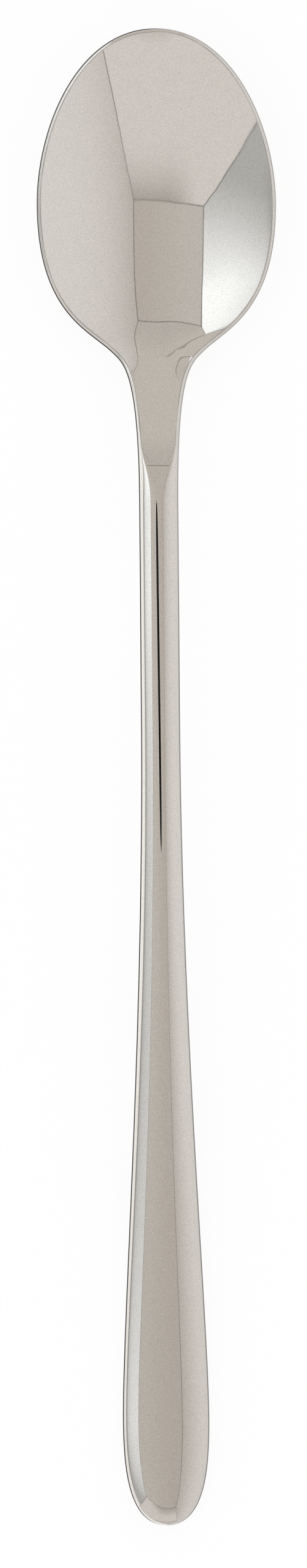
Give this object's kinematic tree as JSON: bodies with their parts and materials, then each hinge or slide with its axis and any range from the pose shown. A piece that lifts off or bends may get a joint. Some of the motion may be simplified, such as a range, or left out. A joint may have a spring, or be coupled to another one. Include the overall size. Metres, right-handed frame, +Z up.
{
  "type": "iced tea spoon",
  "caption": "Long-handled polished steel spoon with an egg-shaped bowl, a slim round neck and a flared, rounded grip, for stirring and eating from tall glasses.",
  "frame": {"origin": "on the table, under the middle of the spoon's length and width", "axes": "+Y along the spoon towards the bowl's tip, +Z up out of the open bowl, +X to the right"},
  "size_m": [0.0312, 0.195, 0.0114],
  "materials": {
    "bowl_steel": "mirror-polished stainless steel",
    "handle_steel": "mirror-polished stainless steel",
    "silver_braze": "silver braze, polished flush with the steel"
  },
  "bodies": {
    "root": {"bowl": "bowl_steel", "handle": "handle_steel", "neck_braze": "silver_braze"}
  },
  "joints": []
}
